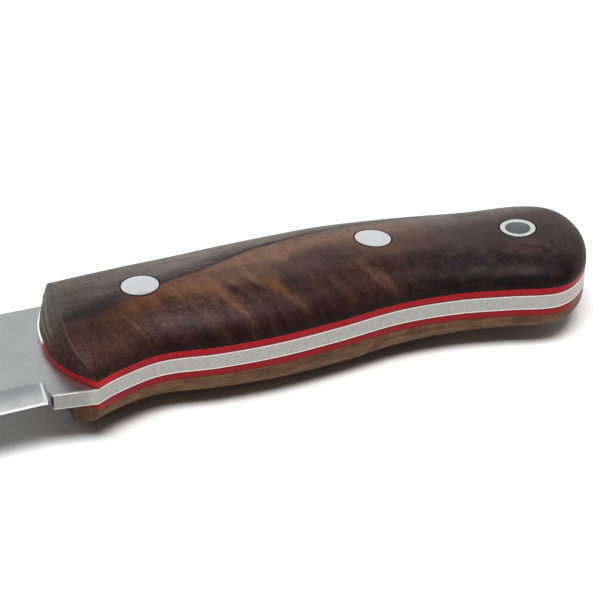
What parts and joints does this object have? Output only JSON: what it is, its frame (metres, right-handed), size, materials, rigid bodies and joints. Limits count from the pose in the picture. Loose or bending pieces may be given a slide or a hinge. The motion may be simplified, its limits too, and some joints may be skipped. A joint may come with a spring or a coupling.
{
  "type": "full-tang belt knife",
  "caption": "Fixed-blade belt knife with a full tang, red liners, contoured wooden scales, steel pins and an open lanyard tube at the butt.",
  "frame": {"origin": "middle of the knife's bounding box, in the middle of the steel's thickness", "axes": "+X from the tip towards the butt, +Y from the cutting edge towards the spine, +Z through the blade's flat, out of its left side; the knife lies on its right side as it does in use on a bench"},
  "size_m": [0.1941, 0.029, 0.0192],
  "materials": {
    "blade_steel": "fine satin with faint scratches",
    "pin_steel": "sanded flush with the wood, nearly polished",
    "red_liner": "sanded red vulcanised fibre",
    "scale_wood": "figured dark walnut, oiled, soft sheen"
  },
  "bodies": {
    "root": {"blade_and_tang": "blade_steel", "left_liner": "red_liner", "right_liner": "red_liner", "left_scale": "scale_wood", "right_scale": "scale_wood", "front_pin": "pin_steel", "rear_pin": "pin_steel", "lanyard_tube": "pin_steel"}
  },
  "joints": []
}
